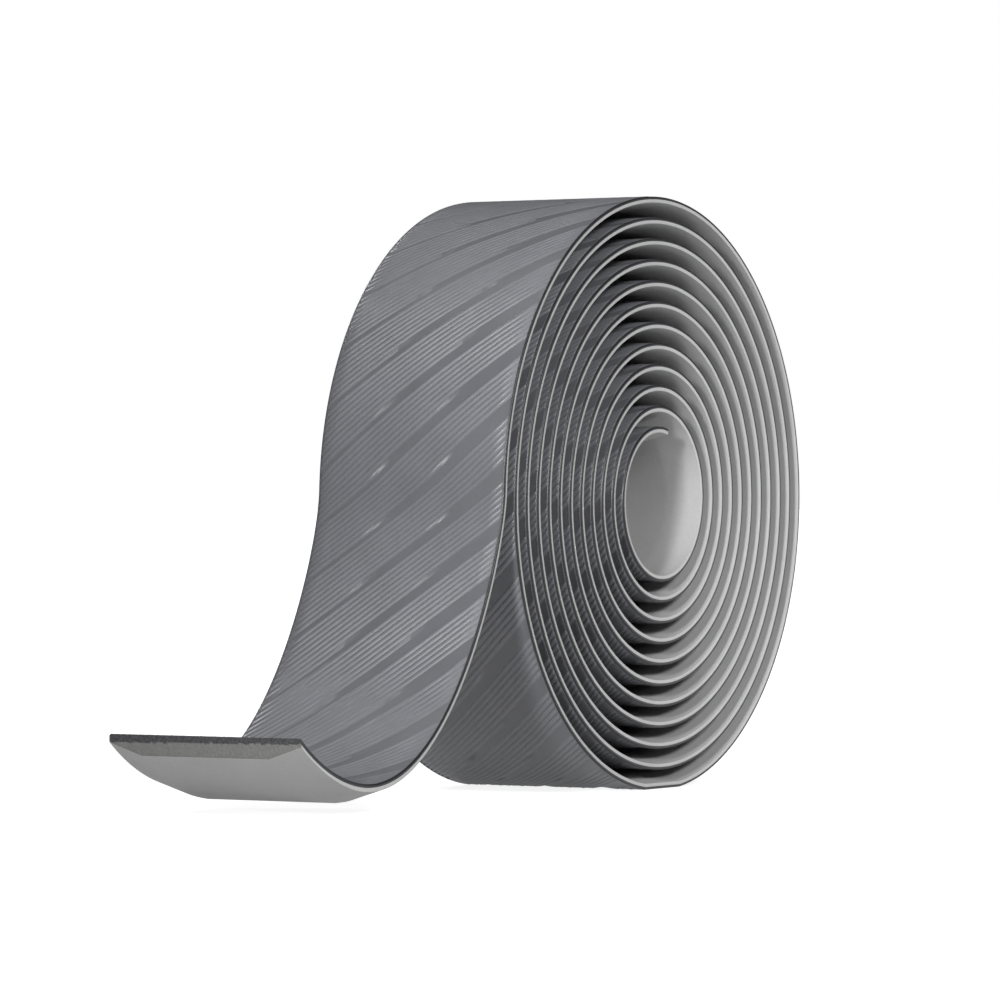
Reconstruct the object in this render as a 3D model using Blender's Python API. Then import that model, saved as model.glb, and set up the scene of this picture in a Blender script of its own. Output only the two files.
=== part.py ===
"""Handlebar tape roll.

One strip of padded tape, about two metres long, is wound into an open spiral.
Its free end leaves the roll on the -X side, swings down to the floor in an
S-shaped curve and lifts again to a plumb cut. The skin faces outwards, and the
foam backing, thinner towards both edges, faces the core.

Frame: metres, +Z up. The roll's axis runs along Y, the floor is Z = 0 under a
small flat spot, and the origin is on the floor below the roll's axis.

The tape is laid out flat first, as (along, across, up) with the skin's face at
up = 0. Its channels are cut there, and then it is wound along its path.
"""

import math

import bmesh
import bpy
import numpy as np

MM = 0.001

# The tape's section
TAPE_WIDTH = 30.0 * MM
FULL_THICKNESS = 2.15 * MM
EDGE_THICKNESS = 0.88 * MM
SHOULDER_WIDTH = 0.35 * MM
SHOULDER_DEPTH = 0.32 * MM
TAPER_WIDTH = 5.1 * MM

# The roll
CORE_RADIUS = 8.23 * MM
TURN_GAP = 0.83 * MM
FULL_TURNS = 11
START_ANGLE = math.radians(-12.0)
LEAVE_ANGLE = math.radians(88.5)
FLAT_SPOT_DEPTH = 0.30 * MM

# The free end
TROUGH_REACH = 33.65 * MM
TROUGH_CLEARANCE = 1.46 * MM
LIP_REACH = 16.9 * MM
LIP_RISE = 6.5 * MM
LIP_ANGLE = math.radians(39.5)
ROLL_PULL = 8.4 * MM
TROUGH_PULL_IN = 20.7 * MM
TROUGH_PULL_OUT = 4.5 * MM
LIP_PULL = 7.2 * MM

# The share that the tape is thicker in the trough, where no turn presses on its foam
TROUGH_SWELL = 0.25

# The skin's pattern: slanting channels part the fields of ribs, and narrow by a step at each third
CHANNEL_PITCH = 9.05 * MM
CHANNEL_WIDTHS = (2.75 * MM, 1.70 * MM, 0.65 * MM)
CHANNEL_DEPTH = 0.20 * MM
CHANNEL_MARGIN = 0.90 * MM
CHANNEL_SLANT = 0.888
END_TO_CHANNEL = 7.2 * MM
CHANNELLED_TURNS = 1.1

# How closely the straight facets follow the curves
CHORD_TOLERANCE = 0.10 * MM
LONGEST_FACET = 4.5 * MM
SAMPLES_PER_TURN = 720
SAMPLES_PER_CURVE = 400
SAME_PLACE = 0.001 * MM
SHARP_ANGLE = math.radians(30.0)

SKIN_COLOUR = (0.185, 0.19, 0.205, 1.0)
SKIN_ROUGHNESS = 0.55
FOAM_COLOUR = (0.36, 0.36, 0.37, 1.0)
FOAM_ROUGHNESS = 0.85

TURN = 2.0 * math.pi
PITCH = FULL_THICKNESS + TURN_GAP


def spiral_radius(angle):
    """Distance of the skin from the roll's axis, at an angle counted from the top of the first turn."""
    return CORE_RADIUS + FULL_THICKNESS + PITCH * angle / TURN


LOWEST_ANGLE = TURN * (FULL_TURNS - 0.5)
AXIS_HEIGHT = spiral_radius(LOWEST_ANGLE) - FLAT_SPOT_DEPTH


def spiral_points(angles):
    """Points (x, z) of the skin on the spiral, which runs from the top over -X to the floor."""
    radii = spiral_radius(angles)
    return np.column_stack((-radii * np.sin(angles), AXIS_HEIGHT + radii * np.cos(angles)))


def cubic_curve(start, start_pull, end_pull, end):
    """Points (x, z) of a cubic curve from start to end, shaped by its two pulled points."""
    t = np.linspace(0.0, 1.0, SAMPLES_PER_CURVE)[:, None]
    u = 1.0 - t
    return u**3 * start + 3.0 * u**2 * t * start_pull + 3.0 * u * t**2 * end_pull + t**3 * end


def free_end_points(leave, leave_direction):
    """Points (x, z) of the skin from the place where the tape leaves the roll to its cut end."""
    trough_height = TROUGH_CLEARANCE + (1.0 + TROUGH_SWELL) * FULL_THICKNESS
    trough = np.array((leave[0] - TROUGH_REACH, trough_height))
    lip = trough + np.array((-LIP_REACH, LIP_RISE))
    outward = np.array((-1.0, 0.0))
    lip_direction = np.array((-math.cos(LIP_ANGLE), math.sin(LIP_ANGLE)))
    fall = cubic_curve(
        leave, leave + ROLL_PULL * leave_direction, trough - TROUGH_PULL_IN * outward, trough
    )
    rise = cubic_curve(
        trough, trough + TROUGH_PULL_OUT * outward, lip - LIP_PULL * lip_direction, lip
    )
    return np.vstack((fall, rise[1:]))


class TapePath:
    """The line that the skin follows, read by the distance along the tape from its inner end."""

    def __init__(self):
        end_angle = TURN * FULL_TURNS + LEAVE_ANGLE
        count = int(SAMPLES_PER_TURN * (end_angle - START_ANGLE) / TURN)
        angles = np.linspace(START_ANGLE, end_angle, count)
        roll = spiral_points(angles)
        leave_direction = (roll[-1] - roll[-2]) / np.linalg.norm(roll[-1] - roll[-2])
        points = np.vstack((roll, free_end_points(roll[-1], leave_direction)[1:]))
        steps = np.linalg.norm(np.diff(points, axis=0), axis=1)
        self.distance = np.concatenate(((0.0,), np.cumsum(steps)))
        slope = np.gradient(points, self.distance, axis=0)
        self.heading = np.unwrap(np.arctan2(slope[:, 1], slope[:, 0]))
        self.bend = np.abs(np.gradient(self.heading, self.distance))
        self.x = points[:, 0]
        self.z = np.maximum(points[:, 1], 0.0)
        self.length = self.distance[-1]
        self.trough = self.distance[-SAMPLES_PER_CURVE]
        self.channelled_from = np.interp(
            end_angle - CHANNELLED_TURNS * TURN, angles, self.distance[:count]
        )
        touching = self.distance[points[:, 1] <= 0.0]
        self.flat_start, self.flat_end = touching[0], touching[-1]

    def swell(self, along):
        """How many times its thickness in the roll the tape has, at a distance along it."""
        share = min(abs(along - self.trough) / (self.length - self.trough), 1.0)
        return 1.0 + TROUGH_SWELL * math.cos(0.5 * math.pi * share) ** 2

    def place(self, along, across, up):
        """Where a point of the flat tape lies once the tape is wound."""
        up *= self.swell(along)
        heading = np.interp(along, self.distance, self.heading)
        x = np.interp(along, self.distance, self.x)
        z = np.interp(along, self.distance, self.z)
        over = max(along - self.length, 0.0)
        return (
            x + over * math.cos(heading) + up * math.sin(heading),
            across,
            z + over * math.sin(heading) - up * math.cos(heading),
        )

    def stations(self):
        """Distances along the tape of its cross-sections, close together where it bends most."""
        found = [0.0]
        while found[-1] < self.length:
            bend = np.interp(found[-1], self.distance, self.bend)
            step = math.sqrt(8.0 * CHORD_TOLERANCE / max(bend, 1e-6))
            found.append(found[-1] + min(step, LONGEST_FACET))
        found = [s for s in found if s < self.length - 0.5 * LONGEST_FACET]
        clear = 0.2 * LONGEST_FACET
        borders = (self.flat_start, self.flat_end)
        found = [s for s in found if min(abs(s - border) for border in borders) > clear]
        return sorted(found + [*borders, self.length])


def section_corners():
    """The tape's section, as (across, up) with the skin's face at up = 0."""
    half = 0.5 * TAPE_WIDTH
    right = (
        (half - SHOULDER_WIDTH, 0.0),
        (half, -SHOULDER_DEPTH),
        (half, -EDGE_THICKNESS),
        (half - TAPER_WIDTH, -FULL_THICKNESS),
    )
    left = tuple((-across, up) for across, up in reversed(right))
    return right + left


def lay_flat_tape(stations):
    """The tape before it is wound: its section's outline, drawn on from station to station."""
    tape = bmesh.new()
    corners = [tape.verts.new((0.0, across, up)) for across, up in section_corners()]
    tape.faces.new(corners)
    outline = list(tape.edges)
    for here, there in zip(stations, stations[1:]):
        made = bmesh.ops.extrude_edge_only(tape, edges=outline)["geom"]
        corners = [item for item in made if isinstance(item, bmesh.types.BMVert)]
        bmesh.ops.translate(tape, verts=corners, vec=(there - here, 0.0, 0.0))
        outline = [edge for edge in made if isinstance(edge, bmesh.types.BMEdge) and edge.is_boundary]
    bmesh.ops.contextual_create(tape, geom=outline)
    return tape


def channel_outline(foot):
    """Corners (along, across) of the channel whose straight side crosses the tape's middle at foot."""
    ends = np.linspace(-0.5 * TAPE_WIDTH, 0.5 * TAPE_WIDTH, len(CHANNEL_WIDTHS) + 1)
    ends[0] += CHANNEL_MARGIN
    ends[-1] -= CHANNEL_MARGIN
    outline = [(foot + CHANNEL_SLANT * across, across) for across in (ends[-1], ends[0])]
    for width, start, end in zip(CHANNEL_WIDTHS, ends, ends[1:]):
        outline += [(foot - width + CHANNEL_SLANT * across, across) for across in (start, end)]
    return outline


def make_channel_cutter(path):
    """One upright block for each channel, which reaches from the channel's floor to above the skin."""
    reach = 0.5 * CHANNEL_SLANT * TAPE_WIDTH + CHANNEL_PITCH
    last_foot = path.length - END_TO_CHANNEL
    beyond = math.ceil((END_TO_CHANNEL + reach) / CHANNEL_PITCH)
    before = math.floor((last_foot - path.channelled_from) / CHANNEL_PITCH)
    cutter = bmesh.new()
    for number in range(-before, beyond):
        outline = channel_outline(last_foot + number * CHANNEL_PITCH)
        floor = cutter.faces.new([cutter.verts.new((*corner, -CHANNEL_DEPTH)) for corner in outline])
        made = bmesh.ops.extrude_face_region(cutter, geom=[floor])["geom"]
        top = [item for item in made if isinstance(item, bmesh.types.BMVert)]
        bmesh.ops.translate(cutter, verts=top, vec=(0.0, 0.0, 2.0 * CHANNEL_DEPTH))
    return cutter


def make_object(name, shape):
    """A linked object that holds a bmesh, with its faces turned outwards. The bmesh is freed."""
    bmesh.ops.recalc_face_normals(shape, faces=shape.faces)
    mesh = bpy.data.meshes.new(name)
    shape.to_mesh(mesh)
    shape.free()
    made = bpy.data.objects.new(name, mesh)
    bpy.context.scene.collection.objects.link(made)
    return made


def cut_channels(tape, path):
    """The flat tape with its channels sunk into the skin of the outer turn and the free end."""
    blank = make_object("blank", tape)
    cutter = make_object("channels", make_channel_cutter(path))
    cut = blank.modifiers.new("channels", "BOOLEAN")
    cut.operation = "DIFFERENCE"
    cut.object = cutter
    channelled = bmesh.new()
    channelled.from_object(blank, bpy.context.evaluated_depsgraph_get())
    for helper in (blank, cutter):
        bpy.data.objects.remove(helper, do_unlink=True)
    return channelled


def split_channels(tape, stations):
    """Splits the channels' floors and sides at the cross-sections, so that they bend with the tape."""
    sunk = [face for face in tape.faces if -SHOULDER_DEPTH < face.calc_center_median().z < 0.0]
    parts = {part for face in sunk for part in (face, *face.edges, *face.verts)}
    for station in stations:
        parts = bmesh.ops.bisect_plane(
            tape,
            geom=list(parts),
            dist=SAME_PLACE,
            plane_co=(station, 0.0, 0.0),
            plane_no=(1.0, 0.0, 0.0),
        )["geom"]
    bmesh.ops.triangulate(tape, faces=tape.faces)


def mark_foam(tape):
    """Gives the second material to what lies below the skin: the side walls, tapers and backing."""
    for face in tape.faces:
        if face.calc_center_median().z < -SHOULDER_DEPTH:
            face.material_index = 1


def cut_end_plumb(tape, path):
    """Slants the flat tape's last section, so that the wound tape ends in an upright cut."""
    slant = math.tan(path.heading[-1])
    for corner in tape.verts:
        if abs(corner.co.x - path.length) < SAME_PLACE:
            corner.co.x -= corner.co.z * slant


def wind(tape, path):
    """Bends the flat tape along its path."""
    for corner in tape.verts:
        corner.co = path.place(*corner.co)


def make_material(name, colour, roughness):
    material = bpy.data.materials.new(name)
    material.use_nodes = True
    shader = material.node_tree.nodes["Principled BSDF"]
    shader.inputs["Base Color"].default_value = colour
    shader.inputs["Roughness"].default_value = roughness
    shader.inputs["Metallic"].default_value = 0.0
    return material


def make_tape():
    """The whole tape as one closed body."""
    path = TapePath()
    stations = path.stations()
    tape = cut_channels(lay_flat_tape(stations), path)
    split_channels(tape, stations)
    mark_foam(tape)
    cut_end_plumb(tape, path)
    wind(tape, path)
    piece = make_object("tape", tape)
    piece.data.materials.append(make_material("skin", SKIN_COLOUR, SKIN_ROUGHNESS))
    piece.data.materials.append(make_material("foam", FOAM_COLOUR, FOAM_ROUGHNESS))
    piece.data.shade_smooth()
    piece.data.set_sharp_from_angle(angle=SHARP_ANGLE)


def main():
    for old in list(bpy.data.objects):
        bpy.data.objects.remove(old, do_unlink=True)
    make_tape()


main()
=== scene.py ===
"""Handlebar tape roll: the looks of one strip of padded, ribbed tape in an open spiral.

Each piece of the tape is shaped while it lies flat, as (along, across, up) with
the tops of the ribs at up = 0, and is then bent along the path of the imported
model. Lengths are in metres, +Z is up, and the roll's axis runs along Y.
"""

import logging
import math
from dataclasses import dataclass, field
from enum import Enum

import bmesh
import bpy
import numpy as np
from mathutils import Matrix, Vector, noise


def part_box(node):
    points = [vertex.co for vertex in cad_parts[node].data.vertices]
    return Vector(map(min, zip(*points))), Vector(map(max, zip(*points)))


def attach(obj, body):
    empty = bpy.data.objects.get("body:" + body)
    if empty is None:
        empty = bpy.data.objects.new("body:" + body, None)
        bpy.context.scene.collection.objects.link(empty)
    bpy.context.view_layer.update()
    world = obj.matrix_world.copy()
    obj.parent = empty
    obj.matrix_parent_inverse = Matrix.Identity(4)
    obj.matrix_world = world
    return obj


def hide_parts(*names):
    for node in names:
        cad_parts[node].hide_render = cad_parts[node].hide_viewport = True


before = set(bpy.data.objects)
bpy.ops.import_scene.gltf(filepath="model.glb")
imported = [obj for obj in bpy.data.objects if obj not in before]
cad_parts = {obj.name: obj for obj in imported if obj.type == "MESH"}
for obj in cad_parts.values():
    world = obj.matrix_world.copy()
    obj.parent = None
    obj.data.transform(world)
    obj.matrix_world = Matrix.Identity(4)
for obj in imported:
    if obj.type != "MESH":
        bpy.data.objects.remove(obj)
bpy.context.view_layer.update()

MM = 0.001
TURN = 2.0 * math.pi
SEAM = 1.0e-7
WHITE = (1.0, 1.0, 1.0, 1.0)
# Nearly all values of the noise texture lie between these two
NOISE_LOW = 0.3
NOISE_HIGH = 0.7
LOG = logging.getLogger("tape")


class Slot(Enum):
    """The record's material slots."""

    SKIN = "tape_skin"
    FOAM = "foam_backing"


class TapeEnd(Enum):
    """The tape's two cut ends, each with the way it faces along the tape."""

    INNER = -1.0
    FREE = 1.0


@dataclass
class TapePath:
    """The line that the ribs' tops follow, read by the distance along the tape.

    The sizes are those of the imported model. The distance starts at the tape's
    inner end, in the core, and ends at the cut of the free end.
    """

    thickness: float = 2.15 * MM
    edge_thickness: float = 0.88 * MM
    taper_width: float = 5.1 * MM
    core_radius: float = 8.23 * MM
    turn_gap: float = 0.83 * MM
    full_turns: int = 11
    start_angle: float = math.radians(-12.0)
    leave_angle: float = math.radians(88.5)
    flat_spot_depth: float = 0.30 * MM
    trough_reach: float = 33.65 * MM
    trough_clearance: float = 1.46 * MM
    lip_reach: float = 16.9 * MM
    lip_rise: float = 6.5 * MM
    lip_angle: float = math.radians(39.5)
    roll_pull: float = 8.4 * MM
    trough_pull_in: float = 20.7 * MM
    trough_pull_out: float = 4.5 * MM
    lip_pull: float = 7.2 * MM
    trough_swell: float = 0.25
    samples_per_turn: int = 720
    samples_per_curve: int = 400
    distance: np.ndarray = field(init=False)
    heading: np.ndarray = field(init=False)
    points: np.ndarray = field(init=False)
    top: float = field(init=False)
    trough: float = field(init=False)

    def __post_init__(self) -> None:
        """Samples the roll and the free end as one line."""
        end_angle = TURN * self.full_turns + self.leave_angle
        count = int(self.samples_per_turn * (end_angle - self.start_angle) / TURN)
        angles = np.linspace(self.start_angle, end_angle, count)
        roll = self.spiral_points(angles)
        step = roll[-1] - roll[-2]
        free_end = self.free_end_points(roll[-1], step / np.linalg.norm(step))
        points = np.vstack((roll, free_end[1:]))
        steps = np.linalg.norm(np.diff(points, axis=0), axis=1)
        self.distance = np.concatenate(((0.0,), np.cumsum(steps)))
        slope = np.gradient(points, self.distance, axis=0)
        self.heading = np.unwrap(np.arctan2(slope[:, 1], slope[:, 0]))
        self.points = np.maximum(points, (-math.inf, 0.0))
        self.top = float(np.interp(TURN * self.full_turns, angles, self.distance[:count]))
        self.trough = float(self.distance[-self.samples_per_curve])

    @property
    def length(self) -> float:
        """The tape's whole length."""
        return float(self.distance[-1])

    def radius(self, angle: np.ndarray | float) -> np.ndarray | float:
        """The skin's distance from the roll's axis, at an angle from the top of the first turn."""
        pitch = self.thickness + self.turn_gap
        return self.core_radius + self.thickness + pitch * angle / TURN

    @property
    def axis_height(self) -> float:
        """The height of the roll's axis above the floor."""
        return self.radius(TURN * (self.full_turns - 0.5)) - self.flat_spot_depth

    def spiral_points(self, angles: np.ndarray) -> np.ndarray:
        """Points (x, z) on the spiral, which runs from the top over -X to the floor."""
        radii = self.radius(angles)
        return np.column_stack((-radii * np.sin(angles), self.axis_height + radii * np.cos(angles)))

    def curve(self, *pulled: np.ndarray) -> np.ndarray:
        """A cubic curve.

        Args:
            pulled: Its four control points (x, z).

        Returns:
            Points (x, z) along it, one row each.
        """
        t = np.linspace(0.0, 1.0, self.samples_per_curve)[:, None]
        weights = ((1.0 - t) ** 3, 3.0 * (1.0 - t) ** 2 * t, 3.0 * (1.0 - t) * t**2, t**3)
        return sum(weight * point for weight, point in zip(weights, pulled))

    def free_end_points(self, leave: np.ndarray, direction: np.ndarray) -> np.ndarray:
        """Points (x, z) from the place where the tape leaves the roll to its cut.

        Args:
            leave: The last point (x, z) on the roll.
            direction: The way that the tape heads there, as a unit vector.

        Returns:
            The points, one row each.
        """
        height = self.trough_clearance + (1.0 + self.trough_swell) * self.thickness
        trough = np.array((leave[0] - self.trough_reach, height))
        lip = trough + np.array((-self.lip_reach, self.lip_rise))
        outward = np.array((-1.0, 0.0))
        lifted = np.array((-math.cos(self.lip_angle), math.sin(self.lip_angle)))
        fall = self.curve(
            leave, leave + self.roll_pull * direction, trough - self.trough_pull_in * outward, trough
        )
        rise = self.curve(
            trough, trough + self.trough_pull_out * outward, lip - self.lip_pull * lifted, lip
        )
        return np.vstack((fall, rise[1:]))

    def swell(self, along: np.ndarray) -> np.ndarray:
        """How many times its thickness in the roll the tape has, at distances along it."""
        share = np.minimum(np.abs(along - self.trough) / (self.length - self.trough), 1.0)
        return 1.0 + self.trough_swell * np.cos(0.5 * math.pi * share) ** 2

    def bend(self, flat: np.ndarray) -> np.ndarray:
        """Bends points of the flat tape along the path.

        Args:
            flat: Rows of (along, across, up).

        Returns:
            Rows of (x, y, z).
        """
        along = np.clip(flat[:, 0], 0.0, self.length)
        over = flat[:, 0] - along
        heading = np.interp(along, self.distance, self.heading)
        x, z = (np.interp(along, self.distance, self.points[:, axis]) for axis in (0, 1))
        up = flat[:, 2] * self.swell(flat[:, 0])
        return np.column_stack(
            (
                x + over * np.cos(heading) + up * np.sin(heading),
                flat[:, 1],
                z + over * np.sin(heading) - up * np.cos(heading),
            )
        )

    def cut_slant(self, end: TapeEnd) -> float:
        """How far the cut leans along the tape for each unit up. The free end's is plumb."""
        return math.tan(self.heading[-1]) if end is TapeEnd.FREE else 0.0

    def cut_place(self, end: TapeEnd) -> float:
        """The cut's distance along the tape."""
        return self.length if end is TapeEnd.FREE else 0.0


@dataclass(frozen=True)
class RibPattern:
    """Slanting ribs in fields that smooth channels part.

    A point's place in the pattern is u, its distance along the tape less the
    slant times its distance from the near edge. Each period has eight rib
    places, and the last ones are empty in the near thirds of the width.
    """

    period: float = 9.05 * MM
    rib_pitch: float = 1.05 * MM
    rib_half_width: float = 0.47 * MM
    rib_height: float = 0.18 * MM
    rib_fullness: float = 0.75
    slant: float = 0.888
    first_edge: float = 47.5 * MM
    ribs_by_third: tuple[int, ...] = (6, 7, 8)
    step_places: tuple[float, ...] = (10.3 * MM, 20.5 * MM)
    step_width: float = 0.12 * MM
    channel_border: float = 0.12 * MM
    wave_start: float = 66.0 * MM
    wave_height: float = 2.3 * MM
    wave_half_length: float = 35.5 * MM

    def drawn_out(self, along: np.ndarray) -> np.ndarray:
        """Where a place on the free end lies in the even pattern, as the skin is stretched there."""
        past = np.maximum(along - self.wave_start, 0.0)
        return along + self.wave_height * np.sin(math.pi * past / self.wave_half_length)

    def columns(self, first: float, last: float, offsets: tuple[float, ...]) -> np.ndarray:
        """Places u of the mesh's columns.

        Args:
            first: The lowest u to reach.
            last: The highest u to reach.
            offsets: Where a rib has columns, in half widths from its crest.

        Returns:
            The places in rising order.
        """
        start = math.floor((first - self.first_edge) / self.period)
        stop = math.ceil((last - self.first_edge) / self.period)
        fields = self.first_edge + self.period * np.arange(start, stop + 1)
        crests = (np.arange(self.ribs_by_third[-1]) + 0.5) * self.rib_pitch
        ribs = (crests[:, None] + np.array(offsets) * self.rib_half_width).ravel()
        last_field = self.ribs_by_third[-1] * self.rib_pitch + self.channel_border
        places = np.concatenate((ribs, (last_field, self.period - self.channel_border)))
        return (fields[:, None] + places).ravel()

    def field(self, place: np.ndarray, across: np.ndarray) -> np.ndarray:
        """How far a place lies in a field of ribs, from 0 in a channel to 1.

        Args:
            place: Places u in the pattern.
            across: Distances from the near edge.

        Returns:
            The shares.
        """
        number = np.floor(np.mod(place - self.first_edge + SEAM, self.period) / self.rib_pitch)
        there = np.where(number < self.ribs_by_third[-1], 1.0, 0.0)
        for missing, step in zip(self.ribs_by_third, self.step_places):
            rise = np.clip((across - step) / self.step_width + 0.5, 0.0, 1.0)
            there = np.where(number >= missing, np.minimum(rise, there), there)
        return there

    def crest(self, place: np.ndarray) -> np.ndarray:
        """How far a rib rises where it is whole.

        Args:
            place: Places u in the pattern.

        Returns:
            The rises, from 0 in a valley to 1 on a crest.
        """
        within = np.mod(np.mod(place - self.first_edge, self.period), self.rib_pitch)
        offset = np.clip((within - 0.5 * self.rib_pitch) / self.rib_half_width, -1.0, 1.0)
        return (1.0 - offset**2) ** self.rib_fullness


class FlatPiece:
    """A closed piece of the flat tape, drawn from a section and columns along it."""

    def __init__(self, columns: np.ndarray, section: np.ndarray, slant: float) -> None:
        """Lays a grid around the section.

        Args:
            columns: Places of the cross lines, which slant across the tape.
            section: Rows of (distance from the near edge, up) around the section. The last
                row is the first one again.
            slant: How far a cross line runs along the tape for each unit across it.
        """
        self.shape = bmesh.new()
        bmesh.ops.create_grid(
            self.shape, x_segments=len(columns) - 1, y_segments=len(section) - 1, size=0.5
        )
        mesh = bpy.data.meshes.new("flat")
        self.shape.to_mesh(mesh)
        grid = coordinates(mesh)
        column = np.rint((grid[:, 0] + 0.5) * (len(columns) - 1)).astype(int)
        row = np.rint((grid[:, 1] + 0.5) * (len(section) - 1)).astype(int)
        self.place = columns[column]
        self.from_edge = section[row, 0]
        self.up = section[row, 1]
        self.along = self.place + slant * self.from_edge
        self.mesh = mesh

    def close(self, width: float) -> None:
        """Sets the flat tape's points and joins the section's first and last rows.

        Args:
            width: The tape's width, whose middle is at across = 0.
        """
        across = self.from_edge - 0.5 * width
        set_coordinates(self.mesh, np.column_stack((self.along, across, self.up)))
        self.shape.clear()
        self.shape.from_mesh(self.mesh)
        bpy.data.meshes.remove(self.mesh)
        bmesh.ops.remove_doubles(self.shape, verts=self.shape.verts, dist=SEAM)

    def cut(self, place: float, slant: float, way: TapeEnd) -> None:
        """Cuts the piece off and caps it.

        Args:
            place: The cut's distance along the tape, at up = 0.
            slant: How far the cut leans along the tape for each unit up.
            way: The end of the tape that the cut faces.
        """
        geometry = [*self.shape.verts, *self.shape.edges, *self.shape.faces]
        made = bmesh.ops.bisect_plane(
            self.shape,
            geom=geometry,
            dist=SEAM,
            plane_co=(place, 0.0, 0.0),
            plane_no=(way.value, 0.0, way.value * slant),
            clear_outer=True,
        )
        rim = [item for item in made["geom_cut"] if isinstance(item, bmesh.types.BMEdge)]
        bmesh.ops.edgeloop_fill(self.shape, edges=rim)

    def finished(self, name: str) -> bpy.types.Mesh:
        """Turns the piece's normals outwards and gives its mesh.

        Args:
            name: The mesh's name.

        Returns:
            The mesh, which is still flat.
        """
        bmesh.ops.recalc_face_normals(self.shape, faces=self.shape.faces)
        mesh = bpy.data.meshes.new(name)
        self.shape.to_mesh(mesh)
        self.shape.free()
        return mesh


def coordinates(mesh: bpy.types.Mesh) -> np.ndarray:
    """The points of a mesh.

    Args:
        mesh: The mesh.

    Returns:
        One row of (x, y, z) for each point.
    """
    points = np.empty(3 * len(mesh.vertices), np.float32)
    mesh.vertices.foreach_get("co", points)
    return points.reshape(-1, 3).astype(float)


def set_coordinates(mesh: bpy.types.Mesh, points: np.ndarray) -> None:
    """Moves the mesh's points to the given rows."""
    mesh.vertices.foreach_set("co", points.astype(np.float32).ravel())
    mesh.update()


def set_attribute(mesh: bpy.types.Mesh, name: str, values: np.ndarray) -> None:
    """Stores one number for each of the mesh's points."""
    attribute = mesh.attributes.new(name, "FLOAT", "POINT")
    attribute.data.foreach_set("value", values.astype(np.float32))


def wavering(places: np.ndarray, size: float, layer: float) -> np.ndarray:
    """Smooth noise between -1 and 1.

    Args:
        places: Rows of (across, up).
        size: The width of the noise's spots.
        layer: Which of many layers of noise to use.

    Returns:
        One value for each row.
    """
    return np.array([noise.noise(Vector((a, b, layer))) for a, b in places / size])


def finish_piece(
    name: str, mesh: bpy.types.Mesh, material: bpy.types.Material, sharp: float
) -> None:
    """Shades a piece, dresses it and puts it in the tape's place.

    Args:
        name: The piece's name.
        mesh: Its mesh, in its place.
        material: Its finish.
        sharp: The angle from which an edge stays sharp.
    """
    mesh.name = name
    mesh.shade_smooth()
    mesh.set_sharp_from_angle(angle=sharp)
    mesh.materials.append(material)
    piece = bpy.data.objects.new(name, mesh)
    bpy.context.scene.collection.objects.link(piece)
    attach(piece, "root")
    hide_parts("tape")
    mesh.calc_loop_triangles()
    LOG.info("%s: %d triangles", name, len(mesh.loop_triangles))


class Nodes:
    """The node tree of one material, with its Principled BSDF."""

    def __init__(self, name: str) -> None:
        """Makes the material.

        Args:
            name: The material's name.
        """
        self.material = bpy.data.materials.new(name)
        self.material.use_nodes = True
        self.tree = self.material.node_tree
        self.shader = self.tree.nodes["Principled BSDF"]

    def add(self, kind: str, inputs: dict | None = None, **settings: object) -> bpy.types.Node:
        """Adds a node.

        Args:
            kind: The node's type, less its Shader prefix.
            inputs: Values or output sockets for its inputs, by name or number.
            settings: Its own settings.

        Returns:
            The node.
        """
        node = self.tree.nodes.new(f"ShaderNode{kind}")
        for setting, value in settings.items():
            setattr(node, setting, value)
        for socket, value in (inputs or {}).items():
            self.give(node, socket, value)
        return node

    def give(self, node: bpy.types.Node, socket: str | int, value: object) -> None:
        """Links an output to a node's input, or sets the input's value.

        Args:
            node: The node.
            socket: The input's name or number.
            value: The output socket, or the plain value.
        """
        if isinstance(value, bpy.types.NodeSocket):
            self.tree.links.new(value, node.inputs[socket])
        else:
            node.inputs[socket].default_value = value

    def speckle(self, size: float, detail: float) -> bpy.types.NodeSocket:
        """Even noise on the object's own coordinates.

        Args:
            size: The width of its spots.
            detail: How many finer layers it has.

        Returns:
            The output, around a half.
        """
        place = self.add("TexCoord").outputs["Object"]
        inputs = {"Vector": place, "Scale": 1.0 / size, "Detail": detail}
        return self.add("TexNoise", inputs).outputs["Fac"]

    def spread(self, value: bpy.types.NodeSocket, low: float, high: float) -> bpy.types.NodeSocket:
        """Maps noise, which keeps to the middle of its range, to a range of its own."""
        ranges = {"From Min": NOISE_LOW, "From Max": NOISE_HIGH, "To Min": low, "To Max": high}
        return self.add("MapRange", {"Value": value, **ranges}).outputs["Result"]

    def mixed(self, share: object, first: object, second: object) -> bpy.types.NodeSocket:
        """A colour between two others.

        Args:
            share: The second colour's share, as a socket.
            first: The first colour, as a socket or as four numbers.
            second: The second colour, given like the first.

        Returns:
            The output with the colour.
        """
        inputs = {"Factor": share, "A": first, "B": second}
        node = self.add("Mix", data_type="RGBA")
        for socket, value in inputs.items():
            found = [item for item in node.inputs if item.name == socket and item.enabled][0]
            if isinstance(value, bpy.types.NodeSocket):
                self.tree.links.new(value, found)
            else:
                found.default_value = value
        return [item for item in node.outputs if item.enabled][0]

    def brightened(self, colour: object, amount: object) -> bpy.types.NodeSocket:
        """A colour times a brightness."""
        return self.add("VectorMath", {0: colour, 3: amount}, operation="SCALE").outputs["Vector"]

    def bump(self, height: bpy.types.NodeSocket, depth: float) -> None:
        """Raises the surface by a height from 0 to 1, which stands for the depth."""
        node = self.add("Bump", {"Height": height, "Distance": depth})
        self.give(self.shader, "Normal", node.outputs["Normal"])


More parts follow.
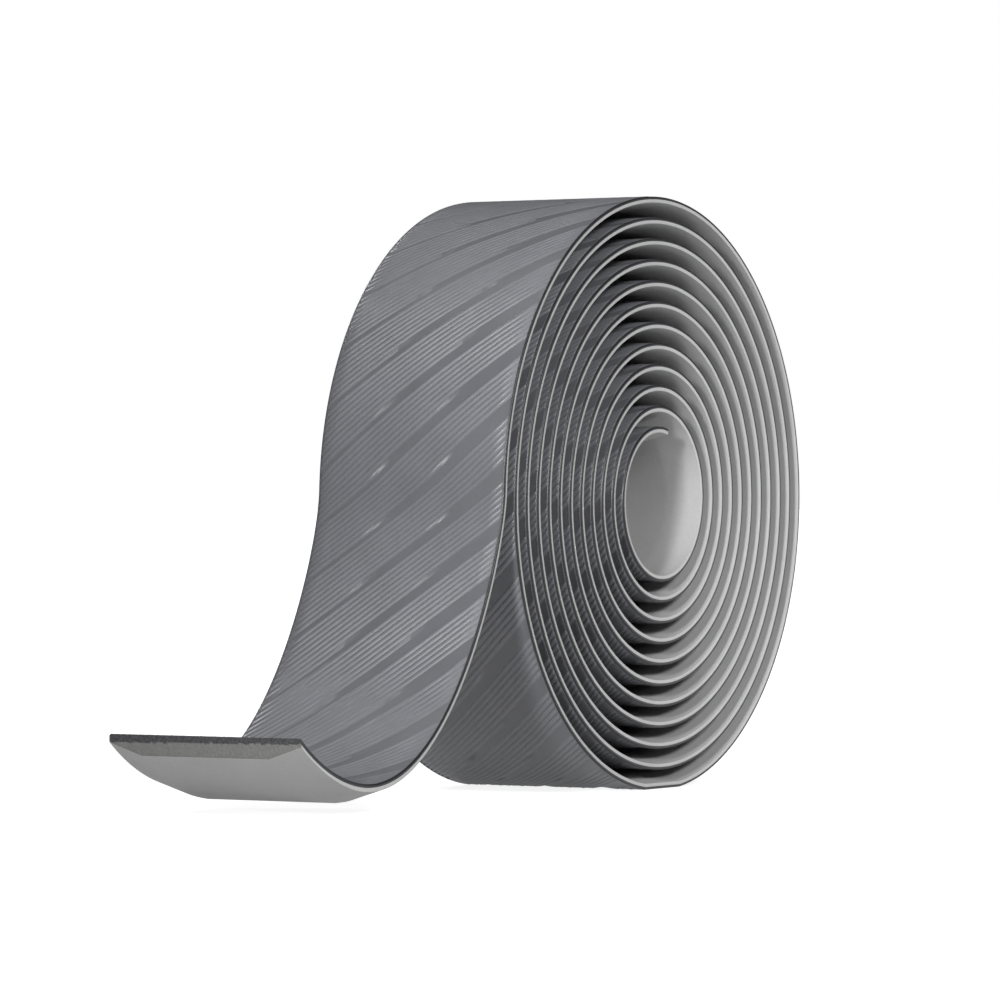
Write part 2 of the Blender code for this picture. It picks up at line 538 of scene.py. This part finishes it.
@dataclass(frozen=True)
class SkinFinish:
    """Satin cool grey skin with a fine grain."""

    colour: tuple[float, ...] = (0.128, 0.130, 0.142)
    roughness: tuple[float, float] = (0.34, 0.44)
    mottle_size: float = 6.0 * MM
    mottle_detail: float = 2.0
    mottle: tuple[float, float] = (0.95, 1.05)
    grain_size: float = 0.12 * MM
    grain_detail: float = 3.0
    grain: tuple[float, float] = (0.93, 1.07)
    grain_depth: float = 0.012 * MM

    def make(self) -> bpy.types.Material:
        """Makes the material, whose brightness is the mesh's tone.

        Returns:
            The material.
        """
        nodes = Nodes("tape_skin")
        tone = nodes.add("Attribute", attribute_name="tone").outputs["Fac"]
        mottle = nodes.speckle(self.mottle_size, self.mottle_detail)
        grain = nodes.speckle(self.grain_size, self.grain_detail)
        colour = nodes.brightened(self.colour, tone)
        colour = nodes.brightened(colour, nodes.spread(mottle, *self.mottle))
        colour = nodes.brightened(colour, nodes.spread(grain, *self.grain))
        nodes.give(nodes.shader, "Base Color", colour)
        nodes.give(nodes.shader, "Roughness", nodes.spread(grain, *self.roughness))
        nodes.bump(grain, self.grain_depth)
        return nodes.material


@dataclass(frozen=True)
class FoamFinish:
    """Matte, fine-celled grey foam, paler on the slit walls at the tape's edges."""

    colour: tuple[float, ...] = (0.345, 0.345, 0.345, 1.0)
    wall_colour: tuple[float, ...] = (0.46, 0.46, 0.46, 1.0)
    roughness: float = 0.9
    detail: float = 2.0
    mottle_size: float = 9.0 * MM
    mottle: tuple[float, float] = (0.96, 1.04)
    cell_size: float = 0.16 * MM
    cell: tuple[float, float] = (0.94, 1.06)
    cell_depth: float = 0.02 * MM

    def make(self) -> bpy.types.Material:
        """Makes the material, which reads the mesh's tone from 0, backing, to 1, wall.

        Returns:
            The material.
        """
        nodes = Nodes("foam_backing")
        tone = nodes.add("Attribute", attribute_name="tone").outputs["Fac"]
        mottle = nodes.speckle(self.mottle_size, self.detail)
        cells = nodes.speckle(self.cell_size, self.detail)
        colour = nodes.mixed(tone, self.colour, self.wall_colour)
        colour = nodes.brightened(colour, nodes.spread(mottle, *self.mottle))
        colour = nodes.brightened(colour, nodes.spread(cells, *self.cell))
        nodes.give(nodes.shader, "Base Color", colour)
        nodes.give(nodes.shader, "Roughness", self.roughness)
        nodes.bump(cells, self.cell_depth)
        return nodes.material


@dataclass(frozen=True)
class CutFinish:
    """The raw face of a cut: torn dark skin over speckled foam."""

    skin_colour: tuple[float, ...] = (0.055, 0.055, 0.060)
    foam_colour: tuple[float, ...] = (0.165, 0.165, 0.160)
    roughness: float = 0.95
    speck_size: float = 0.35 * MM
    speck_detail: float = 4.0
    specks: tuple[float, float] = (0.55, 1.45)
    speck_depth: float = 0.12 * MM
    foam_specks: tuple[float, float] = (0.88, 1.12)

    def make(self) -> bpy.types.Material:
        """Makes the material, which reads the mesh's tone from 0, foam, to 1, skin.

        Returns:
            The material.
        """
        nodes = Nodes("cut_face")
        layer = nodes.add("Attribute", attribute_name="tone").outputs["Fac"]
        torn = nodes.speckle(self.speck_size, self.speck_detail)
        skin = nodes.brightened(self.skin_colour, nodes.spread(torn, *self.specks))
        foam = nodes.brightened(self.foam_colour, nodes.spread(torn, *self.foam_specks))
        nodes.give(nodes.shader, "Base Color", nodes.mixed(layer, foam, skin))
        nodes.give(nodes.shader, "Roughness", self.roughness)
        nodes.bump(torn, self.speck_depth)
        return nodes.material


@dataclass
class TapeSkin:
    """The ribbed skin, from its slit edges to where it is bonded to the foam.

    Its tones are shares of the brightness of the ground between the ribs. The dark line at the
    shoulder's turn is painted shade, the crests are lighter partly from wear and partly as a painted
    highlight, and the inner turns carry a weaker, shaded copy of the pattern.
    """

    path: TapePath
    pattern: RibPattern
    width: float
    shoulder_width: float = 0.26 * MM
    shoulder_height: float = 0.18 * MM
    selvedge_depth: float = 0.04 * MM
    shoulder_segments: int = 4
    edge_depth: float = 0.42 * MM
    bond_depth: float = 0.80 * MM
    bond_margin: float = 1.5 * MM
    bond_segments: int = 7
    rib_margin: float = 0.30 * MM
    rib_run_in: float = 0.12 * MM
    rows_per_third: int = 5
    path_samples: int = 20000
    outer_turns: float = 0.9
    inner_pieces: int = 3
    fine_ribs: tuple[float, ...] = (-1.0, -0.85, -0.5, 0.0, 0.5, 0.85, 1.0)
    coarse_ribs: tuple[float, ...] = (-1.0, -0.4, 0.4, 1.0)
    # Across the shoulder: the edge band's own darker colour, then a line of painted shade where the
    # shoulder turns, then the face.
    edge_marks: tuple[float, ...] = (0.0, 0.1, 0.7, 1.0)
    shoulder_shade_tone: float = 0.06
    edge_band_tone: float = 0.32
    lip_edge_share: float = 0.5
    channel_tone: float = 0.88
    # How much lighter the crests are painted: partly wear on their tops, partly a painted highlight.
    crest_wear_and_sheen: float = 0.10
    # The inner turns, which lie in shade in the gaps, keep only this share of the pattern's contrast: a
    # shaded copy of the skin.
    inner_shade_share: float = 0.15
    sharp: float = math.radians(60.0)

    def shoulder(self) -> np.ndarray:
        """The slit edge and its rounded shoulder, up to the skin's face.

        Returns:
            Rows of (distance from the edge, up).
        """
        turn = np.linspace(0.0, 0.5 * math.pi, self.shoulder_segments + 1)
        face = -self.selvedge_depth
        arc = np.column_stack(
            (
                self.shoulder_width * (1.0 - np.cos(turn)),
                face - self.shoulder_height * (1.0 - np.sin(turn)),
            )
        )
        return np.vstack(((0.0, -self.edge_depth), arc))

    def section(self) -> np.ndarray:
        """The outline around the skin, with its ribs not yet raised.

        Returns:
            Rows of (distance from the near edge, up). The last row is the first one again.
        """
        near = self.shoulder()
        far = near[::-1] * (-1.0, 1.0) + (self.width, 0.0)
        half_step = 0.5 * self.pattern.step_width
        marks = [self.rib_margin, self.rib_margin + self.rib_run_in]
        for step in self.pattern.step_places:
            marks.extend(np.linspace(marks[-1], step - half_step, self.rows_per_third + 1)[1:])
            marks.append(step + half_step)
        last = self.width - self.rib_margin - self.rib_run_in
        marks.extend(np.linspace(marks[-1], last, self.rows_per_third + 1)[1:])
        marks.append(self.width - self.rib_margin)
        face = np.column_stack((marks, np.full(len(marks), -self.pattern.rib_height)))
        bond = np.linspace(self.width - self.bond_margin, self.bond_margin, self.bond_segments + 1)
        under = np.column_stack((bond, np.full(len(bond), -self.bond_depth)))
        return np.vstack((near, face, far, under, near[:1]))

    def make_piece(
        self, name: str, start: float, end: float, offsets: tuple[float, ...], finish: bpy.types.Material
    ) -> None:
        """Makes the skin between two places along the tape.

        Args:
            name: The piece's name.
            start: The distance along the tape where it starts.
            end: The distance along the tape where it ends.
            offsets: Where a rib has columns, in half widths from its crest.
            finish: The skin's material.
        """
        path, pattern = self.path, self.pattern
        samples = np.linspace(-path.top, path.length - path.top + self.width, self.path_samples)
        drawn = pattern.drawn_out(samples)
        ends = np.interp((start - path.top, end - path.top), samples, drawn)
        columns = pattern.columns(ends[0] - pattern.slant * self.width, ends[1], offsets)
        flat = FlatPiece(columns, self.section(), pattern.slant)
        upper = flat.up >= -pattern.rib_height - SEAM
        inside = np.minimum(flat.from_edge, self.width - flat.from_edge)
        fade = np.clip((inside - self.rib_margin) / self.rib_run_in, 0.0, 1.0)
        ribbed = pattern.field(flat.place, flat.from_edge)
        crest = pattern.crest(flat.place) * ribbed * fade
        is_outer = end >= path.length
        # Inner pieces get the painted shaded copy of the pattern, with its contrast cut down.
        contrast = 1.0 if is_outer else self.inner_shade_share
        set_attribute(flat.mesh, "tone", self.tone(flat, ribbed, crest, contrast))
        flat.up = flat.up + np.where(upper, crest * pattern.rib_height, 0.0)
        flat.along = path.top + np.interp(flat.along, drawn, samples)
        self.deepen_edge(flat)
        flat.close(self.width)
        flat.cut(start, path.cut_slant(TapeEnd.INNER), TapeEnd.INNER)
        flat.cut(end, path.cut_slant(TapeEnd.FREE) if is_outer else 0.0, TapeEnd.FREE)
        mesh = flat.finished(name)
        set_coordinates(mesh, path.bend(coordinates(mesh)))
        finish_piece(name, mesh, finish, self.sharp)

    def deepen_edge(self, flat: FlatPiece) -> None:
        """Lets the skin's dark edge grow deeper from the trough to the cut of the free end.

        Args:
            flat: The piece, not yet closed.
        """
        trough, length = self.path.trough, self.path.length
        past = np.maximum(flat.along - trough, 0.0) / (length - trough)
        low = np.abs(flat.up + self.edge_depth) < SEAM
        flat.up = flat.up * np.where(low, 1.0 + self.lip_edge_share * past, 1.0)

    def tone(
        self, flat: FlatPiece, ribbed: np.ndarray, crest: np.ndarray, contrast: float
    ) -> np.ndarray:
        """How bright each point's skin is, with 1 for the ground between the ribs.

        Args:
            flat: The piece, with its ribs not yet raised.
            ribbed: How far each point lies in a field of ribs.
            crest: How far each point is raised by a rib.
            contrast: How strongly the pattern shows, up to 1.

        Returns:
            The brightness of each point.
        """
        inside = np.minimum(flat.from_edge, self.width - flat.from_edge)
        marks = np.array(self.edge_marks) * self.shoulder_width
        # The edge band is the cut edge's own darker colour; the dark line where the shoulder turns is
        # painted shade.
        tones = (self.edge_band_tone, self.shoulder_shade_tone, self.shoulder_shade_tone, 1.0)
        edge = np.interp(inside, marks, tones)
        low = flat.up < -self.selvedge_depth - self.shoulder_height - SEAM
        # Channels darker, crests lighter; the crests' lift is partly wear and partly a painted
        # highlight.
        pattern = self.channel_tone + (1.0 - self.channel_tone) * ribbed + self.crest_wear_and_sheen * crest
        return np.where(low, self.edge_band_tone, edge) * (1.0 + contrast * (pattern - 1.0))

    def build(self, finish: bpy.types.Material) -> None:
        """Makes the outer turn with the free end, and the inner turns in a few stretches.

        Args:
            finish: The skin's material.
        """
        around = TURN * self.path.radius(TURN * self.path.full_turns)
        outer_start = self.path.top - self.outer_turns * around
        borders = np.linspace(0.0, outer_start, self.inner_pieces + 1)
        self.make_piece("skin_outer", outer_start, self.path.length, self.fine_ribs, finish)
        for number, (start, end) in enumerate(zip(borders, borders[1:]), start=1):
            name = f"skin_inner_{number}"
            self.make_piece(name, float(start), float(end), self.coarse_ribs, finish)


@dataclass
class FoamBacking:
    """The foam under the skin, which thins towards both edges of the tape."""

    path: TapePath
    width: float
    wall_inset: float = 0.03 * MM
    wall_top: float = 0.38 * MM
    corner: float = 0.03 * MM
    taper_rounding: float = 0.35 * MM
    taper_rows: int = 4
    back_rows: int = 6
    bond_depth: float = 0.75 * MM
    bond_margin: float = 1.5 * MM
    column_step: float = 1.2 * MM
    sharp: float = math.radians(40.0)

    def section(self) -> np.ndarray:
        """The outline around the foam.

        Returns:
            Rows of (distance from the near edge, up). The last row is the first one again.
        """
        thickness, edge = self.path.thickness, self.path.edge_thickness
        fall = (thickness - edge) / self.path.taper_width
        starts = (self.wall_inset + self.corner, self.path.taper_width - self.taper_rounding)
        taper = np.linspace(*starts, self.taper_rows + 1)
        wall = ((self.wall_inset, -self.wall_top), (self.wall_inset, -edge + self.corner))
        near = np.vstack((wall, np.column_stack((taper, -edge - fall * taper))))
        back_start = self.path.taper_width + self.taper_rounding
        back = np.linspace(back_start, self.width - back_start, self.back_rows + 1)
        under = np.column_stack((back, np.full(len(back), -thickness)))
        far = near[::-1] * (-1.0, 1.0) + (self.width, 0.0)
        across = (self.width - self.bond_margin, 0.5 * self.width, self.bond_margin)
        bond = np.column_stack((across, np.full(len(across), -self.bond_depth)))
        return np.vstack((near, under, far, bond, near[:1]))

    def build(self, finish: bpy.types.Material) -> None:
        """Makes the whole backing as one closed piece.

        Args:
            finish: The foam's material.
        """
        count = math.ceil(self.path.length / self.column_step)
        columns = np.linspace(-self.column_step, self.path.length + self.column_step, count + 3)
        flat = FlatPiece(columns, self.section(), 0.0)
        flat.close(self.width)
        for end in TapeEnd:
            flat.cut(self.path.cut_place(end), self.path.cut_slant(end), end)
        mesh = flat.finished("foam_backing")
        points = coordinates(mesh)
        wall = -points[:, 2] <= self.path.edge_thickness - self.corner + SEAM
        set_attribute(mesh, "tone", np.where(wall, 1.0, 0.0))
        set_coordinates(mesh, self.path.bend(points))
        finish_piece("foam_backing", mesh, finish, self.sharp)


@dataclass
class CutFace:
    """The raw face of one cut end, with the torn edge of the skin over the foam."""

    path: TapePath
    end: TapeEnd
    width: float
    tops: tuple[float, float] = (0.16 * MM, 0.02 * MM)
    shoulder_width: float = 0.26 * MM
    inset: float = 0.04 * MM
    proud: float = 0.05 * MM
    plate: float = 0.12 * MM
    roughness: float = 0.05 * MM
    speck_size: float = 0.45 * MM
    speck_layer: float = 3.0
    skin_depths: tuple[float, float] = (0.62 * MM, 0.85 * MM)
    border_wander: float = 0.16 * MM
    border_size: float = 0.9 * MM
    border_layer: float = 7.0
    columns: int = 200
    rows: int = 16
    sharp: float = math.radians(60.0)

    def make_plate(self, name: str) -> bpy.types.Mesh:
        """Makes a thin flat plate, one unit wide and high, with its back below it.

        Args:
            name: The name of its mesh.

        Returns:
            The mesh.
        """
        shape = bmesh.new()
        bmesh.ops.create_grid(shape, x_segments=self.columns, y_segments=self.rows, size=0.5)
        bmesh.ops.solidify(shape, geom=shape.faces, thickness=self.plate)
        mesh = bpy.data.meshes.new(name)
        shape.to_mesh(mesh)
        shape.free()
        return mesh

    def heights(self, from_edge: np.ndarray, share: np.ndarray) -> np.ndarray:
        """How far up points of the face lie.

        Args:
            from_edge: Their distances from the near edge.
            share: Their places between the backing, at 0, and the skin's top, at 1.

        Returns:
            The heights, all of them below the ribs' tops.
        """
        inside = np.minimum(from_edge, self.width - from_edge)
        depths = (self.path.edge_thickness, self.path.thickness)
        depth = np.interp(inside, (0.0, self.path.taper_width), depths)
        top = np.interp(inside, (self.inset, self.shoulder_width), self.tops)
        return -top - (1.0 - share) * (depth - self.inset - top)

    def skin_share(self, from_edge: np.ndarray, up: np.ndarray) -> np.ndarray:
        """Which points of the face are the skin's.

        Args:
            from_edge: Their distances from the near edge.
            up: How far up they lie.

        Returns:
            1 for each point of the skin and 0 for each of the foam.
        """
        line = np.column_stack((from_edge, np.zeros(len(from_edge))))
        wander = self.border_wander * wavering(line, self.border_size, self.border_layer)
        border = np.interp(from_edge, (0.0, self.width), self.skin_depths) + wander
        return np.where(-up < border, 1.0, 0.0)

    def build(self, finish: bpy.types.Material) -> None:
        """Makes the face as a thin rough plate over the flat cut.

        Args:
            finish: The face's material.
        """
        name = f"cut_face_{self.end.name.lower()}"
        mesh = self.make_plate(name)
        grid = coordinates(mesh)
        from_edge = self.inset + (grid[:, 0] + 0.5) * (self.width - 2.0 * self.inset)
        from_edge = np.clip(from_edge, self.inset, self.width - self.inset)
        up = self.heights(from_edge, np.clip(grid[:, 1] + 0.5, 0.0, 1.0))
        is_back = grid[:, 2] < -0.5 * self.plate
        rough = wavering(np.column_stack((from_edge, up)), self.speck_size, self.speck_layer)
        out = np.where(is_back, -self.plate, self.proud + self.roughness * rough)
        slant = self.path.cut_slant(self.end)
        along = self.path.cut_place(self.end) - up * slant + self.end.value * out
        set_attribute(mesh, "tone", self.skin_share(from_edge, up))
        flat = np.column_stack((along, from_edge - 0.5 * self.width, up))
        set_coordinates(mesh, self.path.bend(flat))
        shape = bmesh.new()
        shape.from_mesh(mesh)
        bmesh.ops.recalc_face_normals(shape, faces=shape.faces)
        shape.to_mesh(mesh)
        shape.free()
        finish_piece(name, mesh, finish, self.sharp)


@dataclass(frozen=True)
class SoftLight:
    """A far, soft light that falls evenly on the whole scene."""

    name: str
    stands: tuple[float, float, float]
    strength: float
    spread: float

    def build(self) -> None:
        """Makes the light, which shines from its side towards the roll."""
        data = bpy.data.lights.new(self.name, "SUN")
        data.energy = self.strength
        data.angle = self.spread
        light = bpy.data.objects.new(self.name, data)
        light.location = self.stands
        light.rotation_euler = (-Vector(self.stands)).to_track_quat("-Z", "Y").to_euler()
        bpy.context.scene.collection.objects.link(light)


@dataclass(frozen=True)
class EdgeSpot:
    """A soft spot whose beam fades over the tape, from its near edge to its far one."""

    name: str
    stands: tuple[float, float, float]
    power: float
    aim: tuple[float, float, float] = (-0.04, -0.055, 0.045)
    beam: float = math.radians(15.6)
    size: float = 0.05

    def build(self) -> None:
        """Makes the spot, aimed past the tape's near edge."""
        data = bpy.data.lights.new(self.name, "SPOT")
        data.energy = self.power
        data.spot_size = self.beam
        data.spot_blend = 1.0
        data.shadow_soft_size = self.size
        light = bpy.data.objects.new(self.name, data)
        light.location = self.stands
        way = Vector(self.aim) - Vector(self.stands)
        light.rotation_euler = way.to_track_quat("-Z", "Y").to_euler()
        bpy.context.scene.collection.objects.link(light)


@dataclass(frozen=True)
class Studio:
    """A pale floor, a white surround, soft light and the camera.

    The floor's glow is a pair: how strongly it lights the roll, and how strongly
    the camera sees it.
    """

    floor_size: float = 40.0
    floor_drop: float = 0.02 * MM
    floor_colour: tuple[float, ...] = (0.50, 0.50, 0.50, 1.0)
    floor_roughness: float = 0.9
    floor_glow: tuple[float, float] = (0.34, 0.85)
    surround: float = 0.08
    camera_place: tuple[float, ...] = (-0.68478, -0.39736, 0.04122)
    camera_way: tuple[float, ...] = (0.8584, 0.5130, 0.0)
    lens: float = 197.65
    sensor: float = 36.0
    near_clip: float = 0.05
    top: SoftLight = SoftLight("top", (-0.15, 0.25, 0.95), 0.78, math.radians(15.0))
    key: SoftLight = SoftLight("key", (-0.45, -0.75, 0.48), 2.13, math.radians(15.0))
    rim: SoftLight = SoftLight("rim", (0.35, 0.77, 0.53), 0.55, math.radians(6.0))
    left_spot: EdgeSpot = EdgeSpot("left_spot", (-0.65, -0.12, 0.20), 21.3)

    def build(self) -> None:
        """Sets the whole studio up."""
        self.make_floor()
        self.make_surround()
        for light in (self.top, self.key, self.rim, self.left_spot):
            light.build()
        self.make_camera()

    def make_floor(self) -> None:
        """Lays the floor just under the roll, white to the camera."""
        shape = bmesh.new()
        bmesh.ops.create_grid(shape, x_segments=1, y_segments=1, size=0.5 * self.floor_size)
        bmesh.ops.translate(shape, verts=shape.verts, vec=(0.0, 0.0, -self.floor_drop))
        mesh = bpy.data.meshes.new("floor")
        shape.to_mesh(mesh)
        shape.free()
        nodes = Nodes("floor")
        nodes.give(nodes.shader, "Base Color", self.floor_colour)
        nodes.give(nodes.shader, "Roughness", self.floor_roughness)
        nodes.give(nodes.shader, "Emission Color", WHITE)
        seen = nodes.add("LightPath").outputs["Is Camera Ray"]
        inputs = {"Value": seen, "To Min": self.floor_glow[0], "To Max": self.floor_glow[1]}
        glow = nodes.add("MapRange", inputs).outputs["Result"]
        nodes.give(nodes.shader, "Emission Strength", glow)
        mesh.materials.append(nodes.material)
        floor = bpy.data.objects.new("floor", mesh)
        bpy.context.scene.collection.objects.link(floor)

    def make_surround(self) -> None:
        """Lights the scene faintly from all round, before a plain white ground."""
        world = bpy.data.worlds.new("surround")
        world.use_nodes = True
        background = world.node_tree.nodes["Background"]
        background.inputs["Color"].default_value = WHITE
        seen = world.node_tree.nodes.new("ShaderNodeLightPath").outputs["Is Camera Ray"]
        strength = world.node_tree.nodes.new("ShaderNodeMapRange")
        strength.inputs["To Min"].default_value = self.surround
        world.node_tree.links.new(seen, strength.inputs["Value"])
        world.node_tree.links.new(strength.outputs["Result"], background.inputs["Strength"])
        bpy.context.scene.world = world
        bpy.context.scene.view_settings.view_transform = "Standard"

    def make_camera(self) -> None:
        """Puts the camera at the photograph's place."""
        data = bpy.data.cameras.new("camera")
        data.lens = self.lens
        data.sensor_width = self.sensor
        data.clip_start = self.near_clip
        camera = bpy.data.objects.new("camera", data)
        camera.location = self.camera_place
        camera.rotation_euler = Vector(self.camera_way).to_track_quat("-Z", "Y").to_euler()
        bpy.context.scene.collection.objects.link(camera)
        bpy.context.scene.camera = camera


def main() -> None:
    """Builds the tape's pieces and the studio in order."""
    logging.basicConfig(level=logging.INFO, format="%(name)s %(message)s")
    low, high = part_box("tape")
    width = high.y - low.y
    path = TapePath()
    pattern = RibPattern()
    TapeSkin(path, pattern, width).build(SkinFinish().make())
    FoamBacking(path, width).build(FoamFinish().make())
    cut_finish = CutFinish().make()
    for end in TapeEnd:
        CutFace(path, end, width).build(cut_finish)
    Studio().build()


if __name__ == "__main__":
    main()
